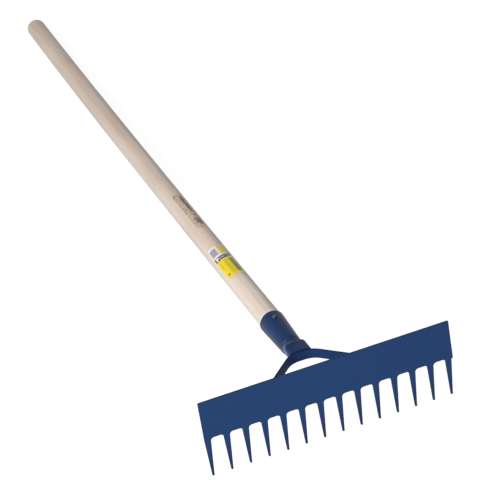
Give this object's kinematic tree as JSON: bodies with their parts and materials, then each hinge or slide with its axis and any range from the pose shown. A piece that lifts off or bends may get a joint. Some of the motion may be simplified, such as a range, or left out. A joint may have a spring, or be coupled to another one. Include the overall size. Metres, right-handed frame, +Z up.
{
  "type": "concrete rake",
  "caption": "Long-handled rake for spreading concrete and gravel: a flat steel blade with tapered teeth on a bent strap yoke, a pressed socket and a round wooden handle.",
  "frame": {"origin": "middle of the footprint of the rake as it stands on its teeth and the handle's far end", "axes": "+X along the blade, +Y from the blade towards the user along the handle, +Z up from the floor"},
  "size_m": [0.4064, 1.5142, 0.1281],
  "materials": {
    "navy_paint": "satin",
    "ash": "sanded",
    "label_paper": "satin"
  },
  "bodies": {
    "root": {"blade": "navy_paint", "bow": "navy_paint", "socket": "navy_paint", "socket_weld": "navy_paint", "blade_weld_left": "navy_paint", "blade_weld_right": "navy_paint", "rivet": "navy_paint", "handle": "ash", "label": "label_paper"}
  },
  "joints": []
}
